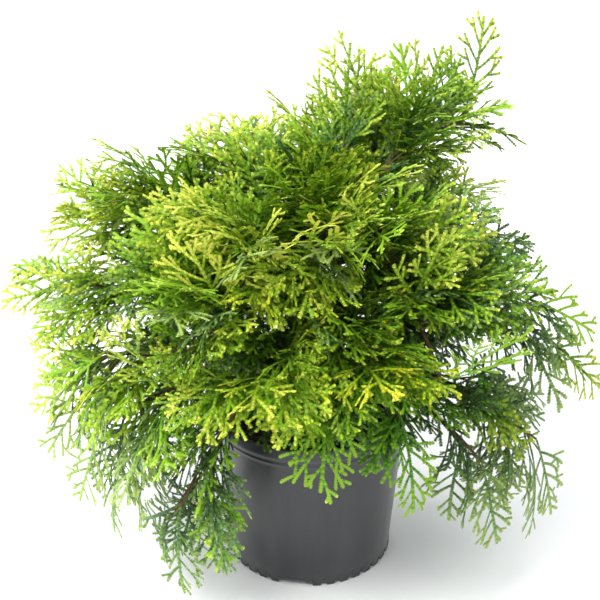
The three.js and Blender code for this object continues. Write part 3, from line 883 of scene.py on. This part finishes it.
tinting = {  # a tone runs from 0, deep green with painted shade inside the crown, towards 1, fresh green outside it
    "seed": 90001, "seedStep": 613, "innerShadeTone": 0.38, "outRange": (0.4, 1.0), "shade": 0.02,
    "rightShade": 0.14, "lowFrontShade": 0.24, "fanSpread": 0.34, "leafTone": 0.62,
    "hanging": 0.85, "hangingAnywhere": 0.08, "hangingOpen": 0.08,
    # heights in the middle and at the sides
    "hangingFrom": (240, 300), "hangingBelow": (130, 190), "sideX": (110, 190),
    "golden": (0.04, 0.2), "goldenMiddle": 30, "young": (0.12, 0.3), "rimYoung": 0.55,
    "zones": {  # from where each begins to where it is full
        "right": {"right": (60, 200), "up": (200, 300)},
        "lowFront": {"front": (0, 100), "side": (190, 120), "up": (310, 220)},
        "golden": {"front": (20, 140), "side": (190, 90), "up": (440, 340)},
        "rim": {"front": (50, 120), "side": (180, 110), "up": (300, 230)},
        "young": {"left": (-20, 120)},
    },
    "masses": {
        "front_upper": 0.12, "front_left_upper": 0.04, "front_left_middle": -0.04,
        "front_right_upper": -0.06, "front_right_middle": -0.1, "right_shoulder": -0.12,
        "right_far": -0.06, "right_far_low": -0.04, "crown_top": -0.14, "right_leader": -0.1,
        "back_leader": -0.06, "left_hanging": 0.08, "left_low": 0.08, "front_left_hanging": 0.1,
        "right_hanging": 0.02, "right_low": 0.03, "front_right_hanging": 0.04,
        "left_shoulder": -0.04,
    },
}
leafMaterials = [
    newMaterial("leaf_" + name, linear(*tint), leaf["roughness"], leaf["specular"])
    for name, tint in leafTints.items()
]
leafNames = list(leafTints)
leafIndices = {
    name: np.array([leafNames.index(tint) for tint in tints]) for name, tints in palettes.items()
}


def turnAbout(axis, degrees):
    return np.array(Matrix.Rotation(math.radians(degrees), 3, axis))


def branchletPoint(shoot, share):  # place and direction on a shoot that curves in its own plane
    curl, length = shoot["curl"], shoot["length"]
    place = np.array((math.sin(curl * share), 1 - math.cos(curl * share), 0))
    place = shoot["frame"] @ place * length / curl
    return shoot["start"] + place, shoot["frame"] @ turnAbout("Z", math.degrees(curl * share))


def branchletMesh(shoot):  # ridged, with a tooth on each side for every pair of scale leaves
    length, width, curl = shoot["length"], shoot["width"], shoot["curl"]
    steps = max(2, round(length / leaf["pitch"]))
    share = np.arange(steps + 1) / steps
    centre = np.column_stack((np.sin(curl * share), 1 - np.cos(curl * share))) * length / curl
    ahead = np.column_stack((np.cos(curl * share), np.sin(curl * share)))
    left = np.column_stack((-ahead[:, 1], ahead[:, 0]))
    taper = width * (1 - leaf["spread"] * (leaf["fullAt"] - share[:-1, None]))
    taper[-1] *= leaf["blunt"]
    narrow = leaf["narrow"] * taper * left[:-1]
    wide = leaf["wide"] * taper * left[:-1]
    reach = np.full((steps, 1), leaf["tooth"])
    reach[-1] = leaf["lastTooth"]
    toothed = centre[:-1] + reach * length / steps * ahead[:-1]
    ridge = leaf["ridge"] * width
    drop = leaf["toothDrop"]
    rows = [
        (centre[:-1], ridge), (centre[:-1] + narrow, 0), (toothed + wide, drop),
        (centre[:-1] - narrow, 0), (toothed - wide, drop), (centre[-1:], leaf["tipRidge"] * ridge),
    ]
    local = np.vstack([np.column_stack((row, np.full(len(row), height))) for row, height in rows])
    i = np.arange(steps)
    following = np.where(i + 1 < steps, i + 1, 5 * steps)
    leftFaces = np.column_stack((i, following, 2 * steps + i, steps + i))
    rightFaces = np.column_stack((i, 3 * steps + i, 4 * steps + i, following))
    tipness = np.tile((i + 1) / steps, 2)
    return shoot["start"] + local @ shoot["frame"].T, np.vstack((leftFaces, rightFaces)), tipness


def growShoots(fanLength, random, isOpen):  # the axis of a fan, its laterals and their forks
    shoots = []

    def around(spread):
        return spread * (next(random) - 0.5)

    def pick(least, spread):
        return least + spread * next(random)

    def addShoot(start, frame, length, width, curl, tone):
        curl = curl if abs(curl) > leaf["leastCurl"] else leaf["leastCurl"]
        shoot = {"start": start, "frame": frame, "length": length, "width": width}
        shoots.append({**shoot, "curl": curl, "tone": tone})
        return shoots[-1]

    axis = addShoot(np.zeros(3), np.identity(3), fanLength, 1.0, around(leaf["axisCurl"]), 0)
    spacing = leaf["openSpacing" if isOpen else "lateralSpacing"]
    lateralShare = leaf["openShare" if isOpen else "lateralShare"]
    forkDensity = leaf["openForks" if isOpen else "forks"]
    first, last = leaf["lateralStart"], leaf["lateralEnd"]
    count = int((last - first) * fanLength / spacing)
    for j in range(count):
        f = mix(first, last, (j + leaf["jitter"] * next(random)) / count)
        side = 1 if j % 2 else -1
        narrowing = mix(1, leaf["tipShare"], smooth(f, *leaf["tipRange"]))
        shape = smooth(f, *leaf["rootRange"]) * narrowing
        long = lateralShare * fanLength * shape * pick(*leaf["lengths"])
        angle = mix(leaf["angleAtRoot"], leaf["angleAtTip"], f)
        angle += around(leaf["angleSpread"])
        place, frame = branchletPoint(axis, f)
        frame = frame @ turnAbout("Z", side * angle)
        frame = frame @ turnAbout("Y", around(leaf["lateralTilt"]))
        frame = frame @ turnAbout("X", around(leaf["lateralRoll"]))
        curl = -side * pick(*leaf["lateralCurls"])
        lateral = addShoot(place, frame, long, leaf["lateralWidth"], curl, leaf["lateralTone"])
        forkCount = int(forkDensity * long / leaf["forkPitch"])
        for m in range(forkCount):
            g = mix(leaf["forkStart"], leaf["forkEnd"], (m + 0.5) / forkCount)
            forkSide = 1 if (m + j) % 2 else -1
            forkLong = leaf["forkShare"] * long * mix(*leaf["forkShares"], g)
            forkLong = min(max(forkLong, leaf["forkShortest"]), leaf["forkLongest"])
            place, frame = branchletPoint(lateral, g + around(leaf["forkJitter"]))
            angle = leaf["forkAngle"] + around(leaf["forkSpread"])
            frame = frame @ turnAbout("Z", forkSide * angle)
            frame = frame @ turnAbout("Y", around(leaf["forkTilt"]))
            forkLong *= pick(*leaf["lengths"])
            curl = leaf["forkCurl"] * forkSide
            addShoot(place, frame, forkLong, leaf["forkWidth"], curl, leaf["forkTone"])
    return shoots


def fanMesh(size, seed, isOpen):  # points, faces and a tone for each face
    random = numbersFrom(seed)
    length = size * growth["fanLength"]
    parts = []
    for shoot in growShoots(length, random, isOpen):
        points, faces, tipness = branchletMesh(shoot)
        out = np.linalg.norm(points[faces].mean(axis=1), axis=1) / length
        tone = leaf["tipTone"] * tipness ** leaf["tipPower"]
        tone = tone + leaf["outerTone"] * np.clip(out, 0, leaf["outermost"]) ** leaf["outerPower"]
        # every other pair of scale leaves is a tint darker: partly the facial and lateral scales'
        # own tones, partly painted shade between the scales
        tone += leaf["scaleToneAndShade"] * (np.round(tipness * len(tipness) / 2) % 2 - 0.5)
        tone = shoot["tone"] + tone + leaf["toneSpread"] * (next(random) - 0.5)
        parts.append((points, faces, tone))
    return joinParts(parts)


def fanFamily(isOpen):  # a few fans of each size
    first, byFan, bySize = leaf["seeds"]
    return [
        [fanMesh(size, first + byFan * k + bySize * n, isOpen) for k in range(leaf["perSize"])]
        for n, size in enumerate(leaf["sizes"])
    ]


fanKinds = {isOpen: fanFamily(isOpen) for isOpen in (False, True)}
fanTriangles = [[2 * len(kinds[0][1]) for kinds in family] for family in fanKinds.values()]
print("fan kinds:", fanTriangles, "triangles")


def placeFan(fan, isOpen, random):
    sizes = leaf["sizes"]
    nearest = min(range(len(sizes)), key=lambda n: abs(sizes[n] - fan["size"]))
    points, faces, tones = fanKinds[isOpen][nearest][int(next(random) * leaf["perSize"])]
    scale = fan["size"] / sizes[nearest]
    length = fan["size"] * growth["fanLength"]
    half = fan["size"] * growth["fanHalfWidth"]
    local = points * np.array((scale, scale, 1))
    if next(random) < 0.5:
        local = local * np.array((1, -1, 1))
        faces = faces[:, ::-1]
    forward = local[:, 0] / length
    lateral = local[:, 1] / half
    loose = leaf["tipLooseness"] if fan["along"] == 1 else 1  # the last fan ends at its mass's tip
    sag = growth["sag"] + leaf["sagSpread"] * loose * (next(random) - 0.5)
    cup = growth["fingerSag"] + leaf["cupSpread"] * (next(random) - leaf["cupLevel"])
    wave = leaf["wave"] * loose * (next(random) - 0.5)
    bend = -sag * length * forward ** 2 - cup * half * lateral ** 2
    local[:, 2] += bend + wave * local[:, 1] * forward
    return fan["root"] + local @ fan["turn"].T, faces, tones


def inZone(name, x, y, z):  # 0 outside the zone, 1 well inside it
    place = {"left": -x, "right": x, "side": abs(x), "front": -y, "up": z}
    return math.prod(smooth(place[way], *ends) for way, ends in tinting["zones"][name].items())


def fanTone(fan, mass, random):
    middle = fan["root"] + 0.5 * fan["size"] * growth["fanLength"] * fan["turn"][:, 0]
    # painted shade: fans deeper inside the crown are given darker tints
    tone = tinting["innerShadeTone"] * smooth(outwardness(middle), *tinting["outRange"]) - tinting["shade"]
    tone -= tinting["rightShade"] * inZone("right", *middle)
    tone -= tinting["lowFrontShade"] * inZone("lowFront", *middle)
    tone += tinting["masses"].get(mass["name"], 0)
    return tone + tinting["fanSpread"] * (next(random) - 0.5)


# cool greens hang low, golden ones are in front, young ones on the left and over the pot's rim
def pickPalette(fan, mass, random):
    x, y, z = fan["root"]
    side = smooth(abs(x), *tinting["sideX"])
    low = smooth(z, mix(*tinting["hangingFrom"], side), mix(*tinting["hangingBelow"], side))
    hanging = tinting["hanging"] * low + tinting["hangingAnywhere"]
    if "open" in mass:
        hanging += tinting["hangingOpen"]
    chance = next(random)
    if chance < hanging:
        return "hanging"
    golden = mix(*tinting["golden"], inZone("golden", x - tinting["goldenMiddle"], y, z))
    young = mix(*tinting["young"], inZone("young", x, y, z))
    young += tinting["rimYoung"] * inZone("rim", x, y, z)
    return "young" if chance > 1 - young else "golden" if chance > 1 - young - golden else "crown"


def dressMass(mass, fans):  # one mesh of all its fans; returns its number of triangles
    random = numbersFrom(tinting["seed"] + tinting["seedStep"] * mass["index"])
    parts = []
    for fan in fans:
        tone = fanTone(fan, mass, random)
        points, faces, tones = placeFan(fan, "open" in mass, random)
        palette = leafIndices[pickPalette(fan, mass, random)]
        steps = (tone + tinting["leafTone"] * tones) * len(palette)
        parts.append((points, faces, palette[np.clip(steps, 0, len(palette) - 1).astype(int)]))
    name = "leaves_" + mass["name"]
    mesh = meshFromArrays(name, *joinParts(parts))
    addPiece(name, mesh, leafMaterials, ["foliage_" + mass["name"]])
    return 2 * len(mesh.polygons)


grown = [growMass(mass) for mass in masses]
triangles = [dressMass(mass, fans) for mass, (stem, fans) in zip(masses, grown)]
fanCount = sum(len(fans) for stem, fans in grown)
print("foliage:", fanCount, "fans,", sum(triangles), "triangles, largest", max(triangles))


# twigs: the stem of each mass and the twig that bears each fan

twigs = {
    "stem": {"radii": (2.7, 1.1), "steps": 16, "sides": 8},
    "twig": {"radii": (1.25, 0.7), "steps": 5, "sides": 5},
    "leastShare": 0.6, "sizeShare": 0.4, "intoFan": 0.16, "bow": 1.5,
    "young": {"colour": (98, 104, 46), "strips": (132, 134, 66), "crack": (72, 66, 34)},
}


def twigTube(curve, thickness, index, radii, steps, sides):
    shares = np.linspace(0, 1, steps)
    centres = np.array([arch(curve, share) for share in shares])
    radii = mix(*radii, shares) * thickness
    ahead = np.gradient(centres, axis=0)
    ahead /= np.linalg.norm(ahead, axis=1)[:, None]
    guide = np.array((0.3, 0.2, 1.0)) if abs(ahead[0][2]) < 0.9 else np.array((1.0, 0.2, 0.1))
    across = np.cross(ahead, guide)
    across /= np.linalg.norm(across, axis=1)[:, None]
    other = np.cross(ahead, across)
    angle = 2 * np.pi * np.arange(sides)[None, :, None] / sides
    ring = across[:, None] * np.cos(angle) + other[:, None] * np.sin(angle)
    points = (centres[:, None] + ring * radii[:, None, None]).reshape(-1, 3)
    i, j = np.meshgrid(np.arange(steps - 1), np.arange(sides), indexing="ij")
    here, beside = i * sides + j, i * sides + (j + 1) % sides
    faces = np.column_stack([part.ravel() for part in (here, here + sides, beside + sides, beside)])
    return points, faces, np.full(len(faces), index)


def dressTwigs():
    parts = []
    for stem, fans in grown:
        parts.append(twigTube(stem, 1, 0, **twigs["stem"]))
        for fan in fans:
            root, size = fan["root"], fan["size"]
            end = root + twigs["intoFan"] * size * growth["fanLength"] * fan["turn"][:, 0]
            bend = mix(fan["from"], root, 0.5) - twigs["bow"] * up * size
            thickness = twigs["leastShare"] + twigs["sizeShare"] * size
            parts.append(twigTube((fan["from"], bend, end), thickness, 1, **twigs["twig"]))
    mesh = meshFromArrays("twigs", *joinParts(parts))
    mesh.polygons.foreach_set("use_smooth", np.ones(len(mesh.polygons), bool))
    addPiece("twigs", mesh, [bark, barkMaterial("youngBark", **twigs["young"])], [])


dressTwigs()
print("twigs joined")
